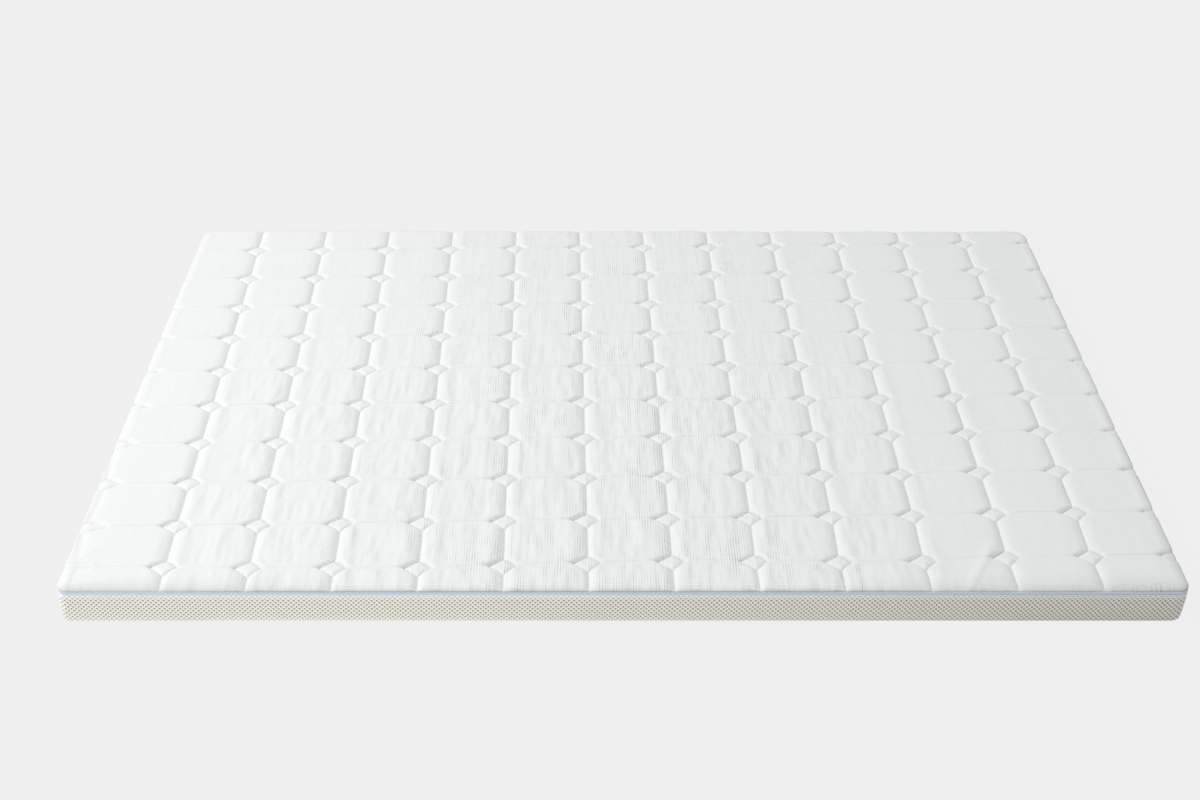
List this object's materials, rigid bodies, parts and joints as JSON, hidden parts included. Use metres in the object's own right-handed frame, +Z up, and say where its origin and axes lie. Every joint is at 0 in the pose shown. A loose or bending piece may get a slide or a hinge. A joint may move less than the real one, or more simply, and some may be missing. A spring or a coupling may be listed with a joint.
{
  "type": "quilted mattress cover on a thin mattress",
  "caption": "Flat rectangular quilted mattress cover with octagon pads and small diamond pillows, blue piping and a mesh side border, fitted round a thin foam mattress.",
  "frame": {"origin": "middle of the bounding box's bottom face, on the floor under the middle of the base panel", "axes": "+X along the long side to the right, +Y across the short side to the back, +Z up, the quilted top facing +Z"},
  "size_m": [2.0049, 1.5056, 0.0778],
  "materials": {
    "quilted_knit": "matt white knit, quilted",
    "blue_piping": "matt light blue woven piping",
    "spacer_mesh": "matt beige spacer mesh with small holes",
    "base_cloth": "matt off-white woven cloth",
    "foam": "matt cream foam"
  },
  "bodies": {
    "root": {"top_panel": "quilted_knit", "piping": "blue_piping", "border": "spacer_mesh", "base_panel": "base_cloth", "mattress": "foam"}
  },
  "joints": []
}
